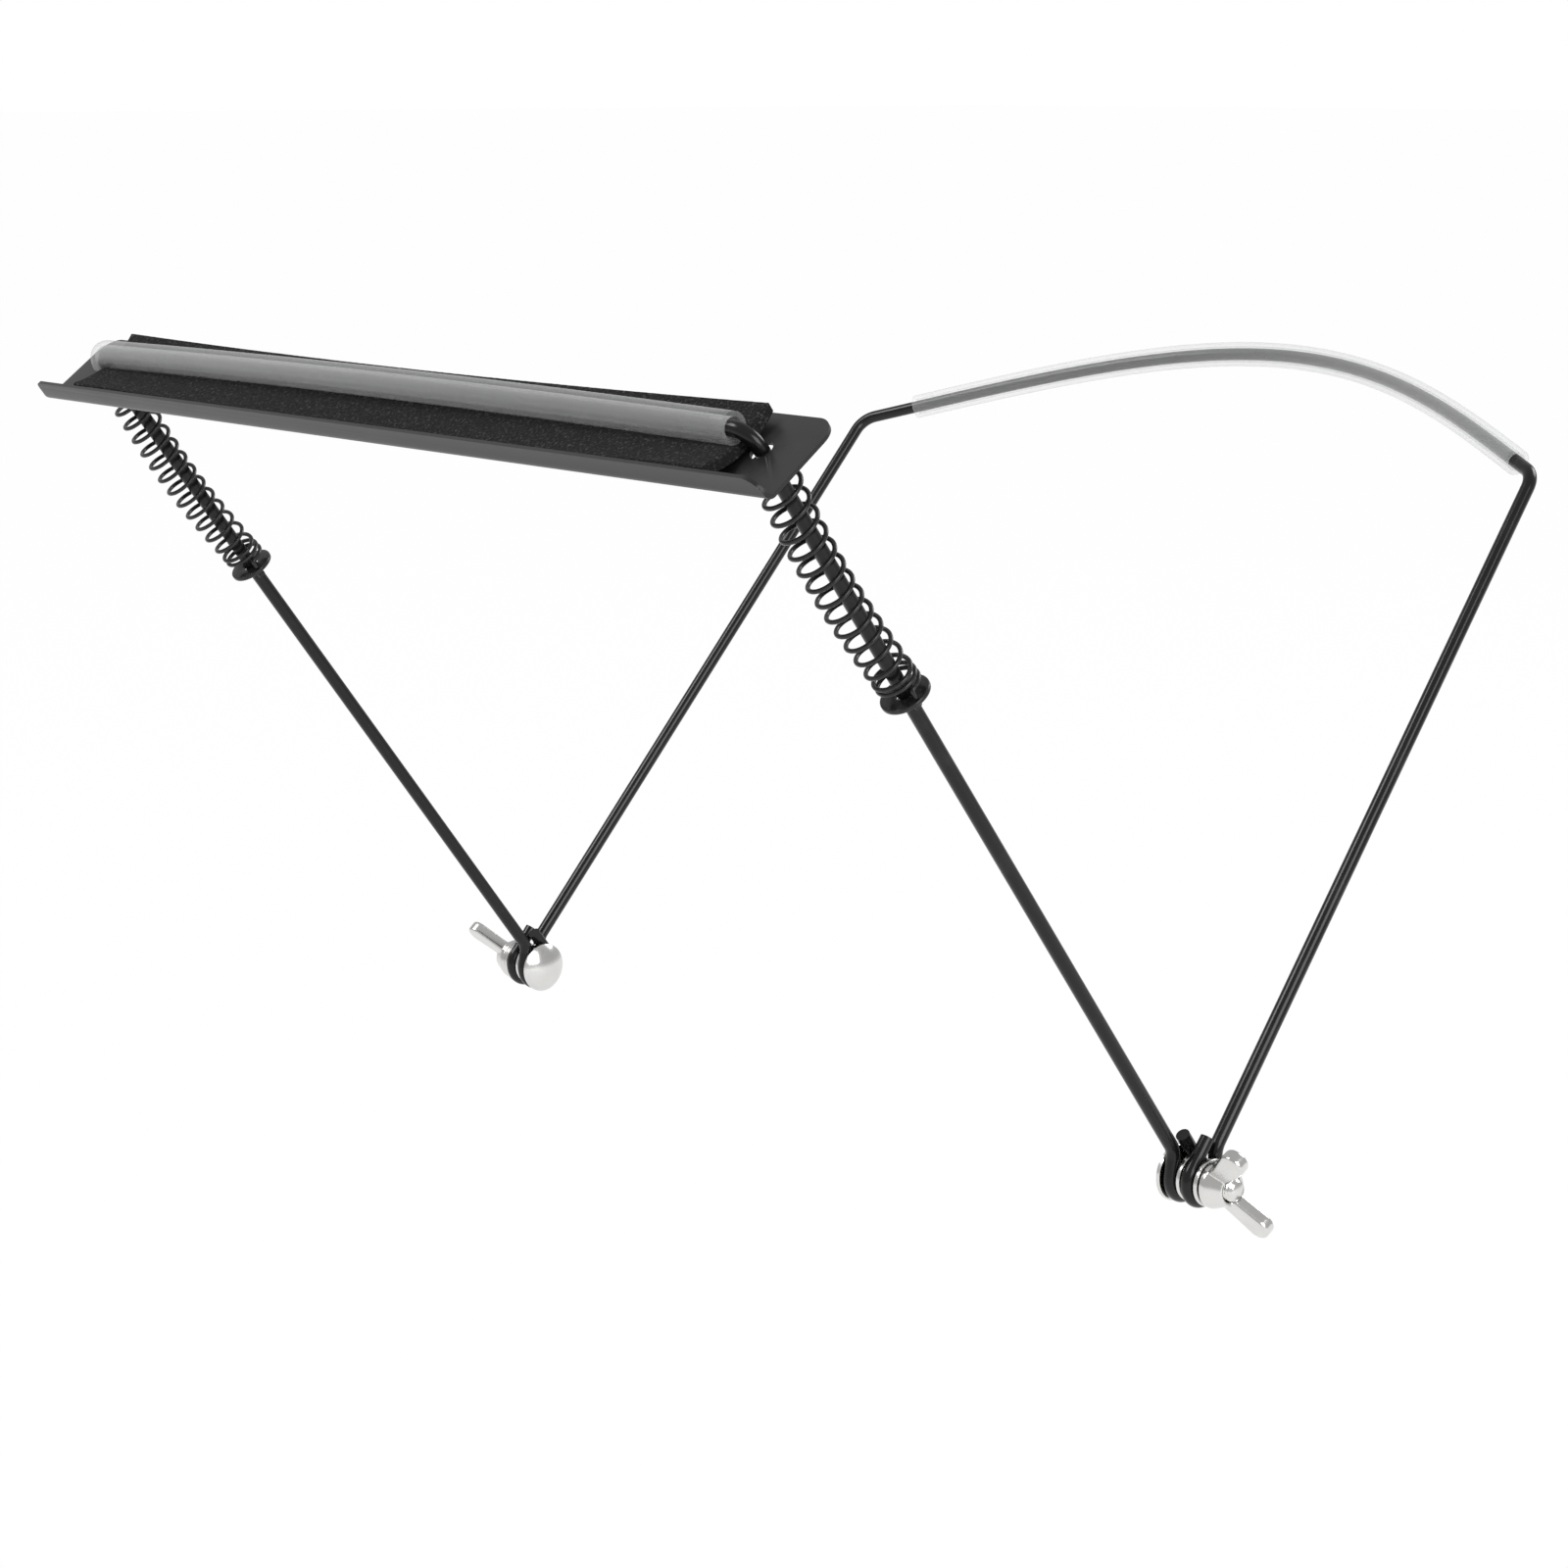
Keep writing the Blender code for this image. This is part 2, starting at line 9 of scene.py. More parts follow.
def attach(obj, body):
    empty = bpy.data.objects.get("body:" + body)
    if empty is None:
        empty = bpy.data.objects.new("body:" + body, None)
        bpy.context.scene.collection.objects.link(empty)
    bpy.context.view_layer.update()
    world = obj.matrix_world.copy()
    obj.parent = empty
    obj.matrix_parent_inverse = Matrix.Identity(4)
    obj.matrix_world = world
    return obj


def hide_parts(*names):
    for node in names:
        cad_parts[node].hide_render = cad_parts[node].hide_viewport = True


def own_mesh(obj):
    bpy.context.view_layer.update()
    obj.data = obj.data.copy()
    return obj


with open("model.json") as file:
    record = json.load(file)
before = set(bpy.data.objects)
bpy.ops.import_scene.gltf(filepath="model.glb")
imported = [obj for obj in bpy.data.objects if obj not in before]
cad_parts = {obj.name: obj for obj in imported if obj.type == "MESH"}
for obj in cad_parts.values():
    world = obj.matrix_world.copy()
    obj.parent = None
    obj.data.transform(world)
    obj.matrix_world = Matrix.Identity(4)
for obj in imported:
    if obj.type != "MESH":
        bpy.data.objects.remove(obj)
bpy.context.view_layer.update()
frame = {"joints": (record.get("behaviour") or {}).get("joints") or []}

# The camera stands in front of the holder, on the wearer's left and a little above it, with a
# long lens. The photograph is square, and the camera's place is kept as a distance from the
# middle of the hinge.
camera_lens = 75.0
sensor_width = 36.0
camera_offset = Vector((0.52690, -0.48516, 0.21867))
camera_dip = 12.170
camera_heading = 48.151
joints = {joint["name"]: joint for joint in frame["joints"]}
hinge = Vector(joints["arm_hinge"]["pos_m"])

camera_data = bpy.data.cameras.new("camera")
camera_data.lens = camera_lens
camera_data.sensor_width = sensor_width
camera = bpy.data.objects.new("camera", camera_data)
camera.location = hinge + camera_offset
camera.rotation_euler = (math.radians(90 - camera_dip), 0, math.radians(camera_heading))
bpy.context.scene.collection.objects.link(camera)
bpy.context.scene.camera = camera

# The neck yoke is one steel rod, bent to a loop for the neck with a hook at each end for its hinge
# bolt. It is dipped in gloss black enamel, which lies a little uneven and is scuffed in places.
MM = 0.001
rod_radius = 1.5 * MM
rod_sides = 24
bolt_radius = 2.5 * MM
hook_clearance = 0.35 * MM
hook_radius = bolt_radius + hook_clearance + rod_radius
hook_stub = 7.6 * MM
hook_lead = math.radians(45)
hook_bend_radius = 4.5 * MM
leg_inset = 0.6 * MM
yoke_lean = math.radians(39.7)
yoke_twist = math.radians(1.3)
yoke_half = 112.6 * MM
yoke_top_half = 109.2 * MM
yoke_length = 172.2 * MM
yoke_corner_radius = 6.0 * MM
loop_rise = 41.4 * MM
loop_tilt = math.radians(22.2)
loop_fullness = 0.25
loop_points = 81
bend_step = math.radians(6)
weld_distance = 0.001 * MM
enamel_deep = (0.0062, 0.0062, 0.0065)
enamel_scuffed = (0.019, 0.019, 0.020)
yoke_place = Matrix.Translation(hinge) @ Matrix.Rotation(-yoke_lean, 4, "X")


def arc(centre, radius, start, end, step=bend_step):
    """Points of an arc in a plane, as pairs."""
    count = max(2, math.ceil(abs(end - start) / step))
    angles = [start + (end - start) * i / count for i in range(count + 1)]
    return [(centre[0] + radius * math.cos(a), centre[1] + radius * math.sin(a)) for a in angles]


def rounded(corners):
    """A line through (point, bend radius) pairs, with an arc in place of each bent corner."""
    points = [Vector(point) for point, _ in corners]
    line = [points[0]]
    for before, corner, after, (_, radius) in zip(points, points[1:], points[2:], corners[1:]):
        if radius == 0:
            line.append(corner)
            continue
        into = (corner - before).normalized()
        out = (after - corner).normalized()
        turn = into.angle(out)
        axis = into.cross(out).normalized()
        start = corner - into * radius * math.tan(turn / 2)
        centre = start + axis.cross(into) * radius
        steps = max(2, math.ceil(turn / bend_step))
        for i in range(steps + 1):
            line.append(centre + Quaternion(axis, turn * i / steps) @ (start - centre))
    line.append(points[-1])
    return line


def hook_line(side_x, inward):
    """The hooked rod end round a bolt, from its cut stub to the leg."""
    stub = [(hook_radius, hook_stub), (hook_radius, hook_radius / 2)]
    under = arc((0, 0), hook_radius, 0, -math.pi - hook_lead)
    last_y, last_z = under[-1]
    lift = (leg_inset - last_y) / math.tan(hook_lead)
    corners = [((side_x, inward * y, z), 0.0) for y, z in stub + under]
    corners.append(((side_x, inward * leg_inset, last_z + lift), hook_bend_radius))
    return corners


def on_loop(x):
    """A point of the neck loop, which bows up from its corners and leans back from the legs."""
    share = (x / yoke_top_half) ** 2
    height = loop_rise * (1 - share) * (1 - loop_fullness * share)
    return (x, height * math.sin(loop_tilt), yoke_length + height * math.cos(loop_tilt))


def twisted(line):
    """The yoke is clamped a little racked: each point turns about the hinge in proportion to X."""
    return [Quaternion((1, 0, 0), yoke_twist * p.x / yoke_half) @ p for p in line]


def even(low, high, count):
    """Evenly spaced values from low to high, with both ends."""
    return [low + (high - low) * i / (count - 1) for i in range(count)]


def yoke_line():
    """The yoke rod's middle line, from one hook's stub over the loop to the other's."""
    reach = yoke_top_half - 2 * yoke_corner_radius
    loop = [(on_loop(x), 0.0) for x in even(-reach, reach, loop_points)]
    corner_left = (on_loop(-yoke_top_half), yoke_corner_radius)
    corner_right = (on_loop(yoke_top_half), yoke_corner_radius)
    left = hook_line(-yoke_half, -1)
    right = hook_line(yoke_half, -1)
    return twisted(rounded(left + [corner_left] + loop + [corner_right] + right[::-1]))


def sweep_tree():
    """Geometry Nodes: a line of edges becomes a round bar of one radius, capped or open."""
    tree = bpy.data.node_groups.new("round bar along a line", "GeometryNodeTree")
    inputs = [
        ("Geometry", "Geometry"), ("Radius", "Float"), ("Sides", "Int"), ("Capped", "Bool"),
        ("Material", "Material"),
    ]
    for name, kind in inputs:
        tree.interface.new_socket(name, in_out="INPUT", socket_type="NodeSocket" + kind)
    tree.interface.new_socket("Geometry", in_out="OUTPUT", socket_type="NodeSocketGeometry")
    add = tree.nodes.new
    given = add("NodeGroupInput")
    line = add("GeometryNodeMeshToCurve")
    ring = add("GeometryNodeCurvePrimitiveCircle")
    bar = add("GeometryNodeCurveToMesh")
    smooth = add("GeometryNodeSetShadeSmooth")
    real = add("GeometryNodeRealizeInstances")
    paint = add("GeometryNodeSetMaterial")
    out = add("NodeGroupOutput")
    link = tree.links.new
    link(given.outputs["Geometry"], line.inputs["Mesh"])
    link(given.outputs["Radius"], ring.inputs["Radius"])
    link(given.outputs["Sides"], ring.inputs["Resolution"])
    link(line.outputs["Curve"], bar.inputs["Curve"])
    link(ring.outputs["Curve"], bar.inputs["Profile Curve"])
    link(given.outputs["Capped"], bar.inputs["Fill Caps"])
    link(bar.outputs["Mesh"], smooth.inputs["Geometry"])
    link(smooth.outputs["Geometry"], real.inputs["Geometry"])
    link(real.outputs["Geometry"], paint.inputs["Geometry"])
    link(given.outputs["Material"], paint.inputs["Material"])
    link(paint.outputs["Geometry"], out.inputs["Geometry"])
    return tree


round_bar = sweep_tree()


def plain_mesh(thing):
    """The object's evaluated mesh as its own, with its modifiers taken off."""
    graph = bpy.context.evaluated_depsgraph_get()
    mesh = bpy.data.meshes.new_from_object(thing.evaluated_get(graph))
    thing.modifiers.clear()
    thing.data = mesh
    return thing


def add_thing(name, mesh):
    """An object for the mesh, linked to the scene."""
    thing = bpy.data.objects.new(name, mesh)
    bpy.context.scene.collection.objects.link(thing)
    return thing


def sweep(name, line, radius, sides, material, capped=True):
    """A round bar along the points of a line."""
    mesh = bpy.data.meshes.new(name)
    mesh.from_pydata(line, [(i, i + 1) for i in range(len(line) - 1)], [])
    thing = add_thing(name, mesh)
    modifier = thing.modifiers.new("bar", "NODES")
    modifier.node_group = round_bar
    values = {"Radius": radius, "Sides": sides, "Capped": capped, "Material": material}
    for item in round_bar.interface.items_tree:
        if item.in_out == "INPUT" and item.name in values:
            modifier[item.identifier] = values[item.name]
    return plain_mesh(thing)


def weld(thing, recalculate=True):
    """Merges the doubled points of a bar's caps, and turns its faces outwards."""
    shape = bmesh.new()
    shape.from_mesh(thing.data)
    bmesh.ops.remove_doubles(shape, verts=shape.verts, dist=weld_distance)
    if recalculate:
        bmesh.ops.recalc_face_normals(shape, faces=shape.faces)
    shape.to_mesh(thing.data)
    shape.free()
    return thing


def smooth_shade(thing, degrees=35):
    """Smooth shading, with edges sharper than the angle left sharp."""
    thing.data.shade_smooth()
    thing.data.set_sharp_from_angle(angle=math.radians(degrees))
    return thing


def fit(thing, material, body, slot, *nodes):
    """Gives a finished piece its material, its body and the solids that it stands for; its slot is
    not used.
    """
    thing.data.materials.clear()
    thing.data.materials.append(material)
    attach(thing, body)
    if nodes:
        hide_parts(*nodes)


class Signal:
    """A socket in a finish's nodes. Plain arithmetic on it adds Math nodes."""

    def __init__(self, finish, socket):
        self.finish = finish
        self.socket = socket

    def worked(self, operation, first, second):
        return self.finish.node("ShaderNodeMath", {"operation": operation}, {0: first, 1: second})

    def __add__(self, other):
        return self.worked("ADD", self, other)

    def __radd__(self, other):
        return self.worked("ADD", other, self)

    def __mul__(self, other):
        return self.worked("MULTIPLY", self, other)

    def __rmul__(self, other):
        return self.worked("MULTIPLY", other, self)


class Finish:
    """The nodes of a material or of the room: node() adds one, and surface() feeds the shader."""

    def __init__(self, owner, shader="Principled BSDF"):
        owner.use_nodes = True
        self.owner = owner
        self.tree = owner.node_tree
        self.shader = self.tree.nodes[shader]

    def feed(self, socket, value):
        if isinstance(value, Signal):
            self.tree.links.new(value.socket, socket)
        else:
            socket.default_value = value

    def node(self, kind, settings, sockets, output=0):
        made = self.tree.nodes.new(kind)
        for name, value in settings.items():
            if name == "stops":
                self.set_stops(made.color_ramp, value)
            else:
                setattr(made, name, value)
        for name, value in sockets.items():
            self.feed(made.inputs[name], value)
        return Signal(self, made.outputs[output])

    def set_stops(self, ramp, stops):
        while len(ramp.elements) < len(stops):
            ramp.elements.new(0.5)
        for element, (position, colour) in zip(ramp.elements, stops):
            element.position = position
            element.color = (*colour, 1.0)

    def surface(self, sockets):
        for name, value in sockets.items():
            self.feed(self.shader.inputs[name], value)

    def place(self):
        return self.node("ShaderNodeTexCoord", {}, {}, "Object")

    def grain(self, scale, detail, roughness=0.5):
        sockets = {"Vector": self.place(), "Scale": scale, "Detail": detail, "Roughness": roughness}
        return self.node("ShaderNodeTexNoise", {}, sockets, "Fac")

    def ramp(self, factor, stops):
        return self.node("ShaderNodeValToRGB", {"stops": stops}, {"Fac": factor}, "Color")

    def bump(self, height, strength, distance):
        sockets = {"Height": height, "Strength": strength, "Distance": distance}
        return self.node("ShaderNodeBump", {}, sockets, "Normal")


def enamel_finish():
    """Gloss black dipped enamel: deep black, slightly wavy, with a few paler scuffs."""
    finish = Finish(bpy.data.materials.new("black_enamel"))
    wave = finish.grain(scale=140, detail=2)
    scuffs = finish.grain(scale=90, detail=6, roughness=0.7)
    finish.surface({
        "Base Color": finish.ramp(scuffs, [(0.55, enamel_deep), (0.82, enamel_scuffed)]),
        "Roughness": 0.14 + 0.12 * scuffs,
        "Normal": finish.bump(wave, strength=0.1, distance=0.12 * MM),
        "Specular IOR Level": 0.3,
    })
    return finish.owner


black_enamel = enamel_finish()
yoke_points = [yoke_place @ p for p in yoke_line()]
yoke = weld(sweep("yoke_rod", yoke_points, rod_radius, rod_sides, black_enamel))
fit(smooth_shade(yoke), black_enamel, "yoke", "black_enamel", "neck_yoke_rod")

# The neck tube is clear soft vinyl hose pushed over the loop. The rod shows through it as a dark
# band, and its cut ends are square.
tube_radius = 3.0 * MM
tube_wall = 1.0 * MM
tube_sides = 48
neck_tube_half = 98.85 * MM
neck_tube_shift = 3.2 * MM
neck_tube_points = 193
cut_edge = 0.15 * MM
vinyl_white = (0.74, 0.745, 0.75)


def vinyl_finish():
    """Clear vinyl, faintly milky and a little wavy, and denser toward its outline."""
    finish = Finish(bpy.data.materials.new("clear_vinyl"))
    wave = finish.grain(scale=60, detail=2)
    rim = finish.node("ShaderNodeLayerWeight", {}, {"Blend": 0.4}, "Facing")
    finish.surface({
        "Base Color": (*vinyl_white, 1.0),
        "Roughness": 0.08 + 0.12 * wave,
        "Alpha": 0.1 + 0.5 * rim * rim,
        "IOR": 1.4,
    })
    return finish.owner


clear_vinyl = vinyl_finish()


def soft_tube(name, line):
    """An open round skin along a line, with a wall turned inwards."""
    skin = sweep(name, line, tube_radius, tube_sides, clear_vinyl, capped=False)
    tube = weld(skin, recalculate=False)
    wall = tube.modifiers.new("wall", "SOLIDIFY")
    wall.thickness = tube_wall
    wall.offset = -1
    wall.use_even_offset = True
    return plain_mesh(tube)


def ease_edges(thing, width, degrees=50, segments=2):
    """Rounds the sharp edges by a small width."""
    ease = thing.modifiers.new("eased", "BEVEL")
    ease.width = width
    ease.segments = segments
    ease.limit_method = "ANGLE"
    ease.angle_limit = math.radians(degrees)
    return plain_mesh(thing)


neck_first = neck_tube_shift - neck_tube_half
neck_last = neck_tube_shift + neck_tube_half
neck_curve = [Vector(on_loop(x)) for x in even(neck_first, neck_last, neck_tube_points)]
neck_line = [yoke_place @ p for p in twisted(neck_curve)]
neck_tube = ease_edges(soft_tube("neck_hose", neck_line), cut_edge)
fit(smooth_shade(neck_tube), clear_vinyl, "yoke", "clear_vinyl", "neck_tube")

# The arm is a second rod of the same stock, with straight legs, a slightly bowed crossbar and the
# same hooks. Under each spring the rod is nipped flat into two small ears, which stop the collar.
arm_half = 108.0 * MM
arm_height = 198.8 * MM
arm_corner_radius = 4.5 * MM
crossbar_bow = 1.2 * MM
crossbar_points = 41
collar_height = 136.1 * MM
collar_thickness = 1.0 * MM
ear_width = 4.4 * MM
ear_depth = 1.8 * MM
ear_length = 2.2 * MM
ear_gap = 0.3 * MM
ear_ease = 0.35 * MM
slide_axis = Vector(joints["plate_slide"]["axis"])
arm_up = -slide_axis
arm_rear = arm_up.cross(Vector((1, 0, 0)))
arm_turn = Matrix((Vector((1, 0, 0)), arm_rear, arm_up)).transposed().to_4x4()
arm_place = Matrix.Translation(hinge) @ arm_turn


def crossbar_z(x):
    """The height of the crossbar's middle line over the hinge."""
    return arm_height + crossbar_bow * (1 - (x / arm_half) ** 2)


def crossbar_line(reach):
    """The bowed middle of the crossbar, from -reach to reach."""
    stations = even(-reach, reach, crossbar_points)
    return [((x, leg_inset, crossbar_z(x)), 0.0) for x in stations]


def arm_line():
    """The arm rod's middle line, from one hook's stub over the crossbar to the other's."""
    corner_left = ((-arm_half, leg_inset, arm_height), arm_corner_radius)
    corner_right = ((arm_half, leg_inset, arm_height), arm_corner_radius)
    bar = crossbar_line(arm_half - 2 * arm_corner_radius)
    left = hook_line(-arm_half, 1)
    right = hook_line(arm_half, 1)
    return rounded(left + [corner_left] + bar + [corner_right] + right[::-1])


def shaped(name, shape, place):
    """A worked shape as an object, with its place in its mesh."""
    bmesh.ops.transform(shape, matrix=place, verts=shape.verts)
    mesh = bpy.data.meshes.new(name)
    shape.to_mesh(mesh)
    shape.free()
    return add_thing(name, mesh)


def box(name, size, place):
    """A block of the given size, about its middle."""
    shape = bmesh.new()
    bmesh.ops.create_cube(shape, size=1.0)
    bmesh.ops.scale(shape, vec=size, verts=shape.verts)
    return shaped(name, shape, place)


def join_solid(thing, operation, cutter):
    """A Boolean with another object, which is used up."""
    step = thing.modifiers.new("step", "BOOLEAN")
    step.operation = operation
    step.object = cutter
    plain_mesh(thing)
    bpy.data.objects.remove(cutter)


arm_points = [arm_place @ p for p in arm_line()]
arm = weld(sweep("arm_rod", arm_points, rod_radius, rod_sides, black_enamel))
ear_z = collar_height - collar_thickness / 2 - ear_gap - ear_length / 2
for side in (-1, 1):
    ear_place = arm_place @ Matrix.Translation((side * arm_half, leg_inset, ear_z))
    ears = box("ears", (ear_width, ear_depth, ear_length), ear_place)
    join_solid(arm, "UNION", ease_edges(ears, ear_ease))
fit(smooth_shade(arm), black_enamel, "arm", "black_enamel", "arm_frame_rod")

# The crossbar wears the same clear tube. Its right end is cut square by the bend. Its left end goes
# down round the bend and is cut on a slant just above the plate.
tube_setback = 4.3 * MM
slant_tilt = math.radians(7.6)
knife_size = 24.0 * MM

tube_end_x = arm_half - tube_setback
bar_line = rounded(
    [
        ((-arm_half, leg_inset, arm_height - 2 * arm_corner_radius), 0.0),
        ((-arm_half, leg_inset, arm_height), arm_corner_radius),
    ]
    + crossbar_line(arm_half - 2 * arm_corner_radius)
    + [((tube_end_x, leg_inset, crossbar_z(tube_end_x)), 0.0)]
)
crossbar_tube = soft_tube("crossbar_hose", [arm_place @ p for p in bar_line])
knife_half = knife_size / 2
slant = Matrix.Translation((arm_corner_radius - arm_half, leg_inset, arm_height - tube_radius))
knife_place = (
    arm_place @ slant @ Matrix.Rotation(slant_tilt, 4, "Y")
    @ Matrix.Translation((-knife_half, 0, -knife_half))
)
join_solid(
    crossbar_tube, "DIFFERENCE", box("knife", (knife_size, knife_size, knife_size), knife_place),
)
ease_edges(crossbar_tube, cut_edge)
fit(smooth_shade(crossbar_tube), clear_vinyl, "arm", "clear_vinyl", "crossbar_tube")

# The harmonica plate is thin sheet, with its front edge folded up and its corners rounded. It
# slides on the arm's legs through a punched hole near each end, and is coated satin black.
plate_top = 194.4 * MM
plate_length = 239.4 * MM
plate_thickness = 0.8 * MM
plate_front = 11.3 * MM
plate_rear = 9.3 * MM
plate_fold_radius = 1.0 * MM
plate_corner_radius = 5.0 * MM
plate_edge = 0.12 * MM
flange_height = 5.2 * MM
flange_left_radius = 1.2 * MM
flange_right_radius = 4.4 * MM
plate_hole_radius = 2.25 * MM
punch_depth = 10 * plate_thickness
die_reach = plate_length
coat_dark = (0.0075, 0.0075, 0.008)
coat_pale = (0.011, 0.011, 0.0115)
plate_place = arm_place @ Matrix.Translation((0, leg_inset, plate_top))


def coat_finish():
    """Satin black coat on steel sheet, with a very fine pebble."""
    finish = Finish(bpy.data.materials.new("black_coat"))
    pebble = finish.grain(scale=3800, detail=2)
    cloud = finish.grain(scale=60, detail=4)
    finish.surface({
        "Base Color": finish.ramp(cloud, [(0.3, coat_dark), (0.75, coat_pale)]),
        "Roughness": 0.27 + 0.12 * cloud,
        "Normal": finish.bump(pebble, strength=0.12, distance=0.08 * MM),
        "IOR": 1.5,
    })
    return finish.owner


def prism(name, outline, height, place):
    """An outline in XY, made thick along Z, and put in place."""
    shape = bmesh.new()
    points = [shape.verts.new((x, y, -height / 2)) for x, y in outline]
    face = shape.faces.new(points)
    raised = bmesh.ops.extrude_face_region(shape, geom=[face])
    tops = [item for item in raised["geom"] if isinstance(item, bmesh.types.BMVert)]
    bmesh.ops.translate(shape, verts=tops, vec=(0, 0, height))
    bmesh.ops.recalc_face_normals(shape, faces=shape.faces)
    return shaped(name, shape, place)


def round_corners(depth, left_radius, right_radius):
    """A die as long as the plate, with its two far corners rounded at that depth."""
    half = plate_length / 2
    right = arc((half - right_radius, depth - right_radius), right_radius, 0, math.pi / 2)
    left = arc((left_radius - half, depth - left_radius), left_radius, math.pi / 2, math.pi)
    return [(half, -die_reach)] + right + left + [(-half, -die_reach)]


def sheet_outline():
    """The folded sheet's section in (front, up), round its outer face and back along its inner."""
    underside = -plate_thickness
    outer = plate_fold_radius + plate_thickness
    centre = (plate_front - outer, underside + outer)
    outside = arc(centre, outer, 0, -math.pi / 2)
    inside = arc(centre, plate_fold_radius, -math.pi / 2, 0)
    lip = underside + flange_height
    return (
        [(plate_front, lip)] + outside + [(-plate_rear, underside), (-plate_rear, 0)]
        + inside + [(plate_front - plate_thickness, lip)]
    )


black_coat = coat_finish()
# The section's front is -Y and its up is +Z, and the sheet's length lies along X.
section_turn = Matrix(((0, 0, -1, 0), (-1, 0, 0, 0), (0, 1, 0, 0), (0, 0, 0, 1)))
plate = prism("plate", sheet_outline(), plate_length, plate_place @ section_turn)
plan = round_corners(plate_rear, plate_corner_radius, plate_corner_radius)
join_solid(plate, "INTERSECT", prism("plan", plan, die_reach, plate_place))
flange = round_corners(flange_height - plate_thickness, flange_left_radius, flange_right_radius)
flange_place = plate_place @ Matrix.Rotation(math.pi / 2, 4, "X")
join_solid(plate, "INTERSECT", prism("flange", flange, die_reach, flange_place))
hole = arc((0, 0), plate_hole_radius, 0, math.tau)[:-1]
for side in (-1, 1):
    punch_place = plate_place @ Matrix.Translation((side * arm_half, 0, 0))
    join_solid(plate, "DIFFERENCE", prism("punch", hole, punch_depth, punch_place))
ease_edges(plate, plate_edge, degrees=30)
fit(smooth_shade(plate), black_coat, "plate", "black_powder_coat", "harmonica_plate")

# The pad is a strip of open-pored black foam stuck along the plate. The crossbar's tube presses a
# groove along it and makes its long edges curl up, more at the ends, where the bar is lower.
pad_length = 210.0 * MM
pad_thickness = 2.3 * MM
pad_gap = 0.3 * MM
pad_front = plate_front - plate_thickness - pad_gap
pad_rear = 8.0 * MM
pad_curl = 1.5 * MM
pad_seat = 0.3 * MM
pad_edge = 0.5 * MM
pad_least = 0.2 * MM
pad_columns = 420
pad_rows = 44
groove_gap = 0.15 * MM
groove_radius = tube_radius + groove_gap
foam_relief = 0.06 * MM
foam_relief_scale = 900
foam_deep = (0.008, 0.008, 0.0085)
# The paler foam tone is a painted highlight, standing for light caught on the pore rims.
foam_painted_glint = (0.06, 0.06, 0.062)


def foam_finish():
    """Black foam: pores a fraction of a millimetre wide, with pale specks painted into its colour
    as highlights where their rims catch light.
    """
    finish = Finish(bpy.data.materials.new("black_foam"))

    def cells(scale):
        sockets = {"Vector": finish.place(), "Scale": scale}
        return finish.node("ShaderNodeTexVoronoi", {}, sockets, "Distance")

    speck = finish.grain(scale=1900, detail=2)
    pores = cells(1500) + 0.6 * cells(800) + 0.35 * speck
    # Pale specks mixed into the foam's colour are painted highlights on the pore rims.
    painted_glints = finish.ramp(speck, [(0.55, (0.0, 0.0, 0.0)), (0.72, (1.0, 1.0, 1.0))])
    shade = {0: painted_glints, 6: (*foam_deep, 1.0), 7: (*foam_painted_glint, 1.0)}
    finish.surface({
        "Base Color": finish.node("ShaderNodeMix", {"data_type": "RGBA"}, shade, 2),
        "Roughness": 0.94,
        "Normal": finish.bump(pores, strength=0.9, distance=0.4 * MM),
        "Specular IOR Level": 0.3,
    })
    return finish.owner


def pad_heights(x, y):
    """Lower and upper height of the pad over the plate, with soft edges and a pressed groove."""
    curl = pad_curl * (x / arm_half) ** 2
    low = pad_seat + curl * (y / pad_rear) ** 2
    edge = min(y + pad_front, pad_rear - y, pad_length / 2 - abs(x), pad_edge)
    drop = pad_edge - math.sqrt(max(pad_edge ** 2 - (pad_edge - edge) ** 2, 0.0))
    relief = foam_relief * noise.noise(Vector((x, y, 0)) * foam_relief_scale)
    high = low + pad_thickness - drop + relief
    if abs(y) < groove_radius:
        pressed = crossbar_z(x) - plate_top - math.sqrt(groove_radius ** 2 - y ** 2)
        high = min(high, pressed)
    return low, max(high, low + pad_least)


def foam_strip():
    """A fine grid and its copy above, lowered and raised to the pad's heights."""
    shape = bmesh.new()
    bmesh.ops.create_grid(shape, x_segments=pad_columns, y_segments=pad_rows, size=0.5)
    for vert in shape.verts:
        vert.co.x *= pad_length
        vert.co.y = vert.co.y * (pad_front + pad_rear) + (pad_rear - pad_front) / 2
    raised = bmesh.ops.extrude_face_region(shape, geom=shape.faces[:])
    upper = {item for item in raised["geom"] if isinstance(item, bmesh.types.BMVert)}
    for vert in shape.verts:
        low, high = pad_heights(vert.co.x, vert.co.y)
        vert.co.z = high if vert in upper else low
    bmesh.ops.recalc_face_normals(shape, faces=shape.faces)
    return shaped("foam_strip", shape, plate_place)


black_foam = foam_finish()
pad = foam_strip()
fit(smooth_shade(pad, degrees=50), black_foam, "plate", "black_foam", "foam_pad")

# Each leg carries a washer-like collar and a compression spring of black wire, whose lowest curls
# lie close together and which bows forward. The springs push the plate up against the crossbar.
collar_radius = 5.0 * MM
collar_ease = 0.3 * MM
rod_clearance = 0.3 * MM
spring_radius = 3.95 * MM
wire_radius = 0.45 * MM
wire_sides = 12
spring_sag = 1.7 * MM
spring_curls = 15.5
curl_points = 600
closed_curls = 2.0
closed_pitch = 1.4 * MM
seat_gap = 0.3 * MM
spring_seat = collar_height + collar_thickness / 2 + seat_gap
spring_head = plate_top - plate_thickness - seat_gap
spring_lead = 1.8 * MM
turned_steps = 64
ease_step = math.radians(30)
wire_dark = (0.008, 0.008, 0.0085)
wire_pale = (0.022, 0.022, 0.023)


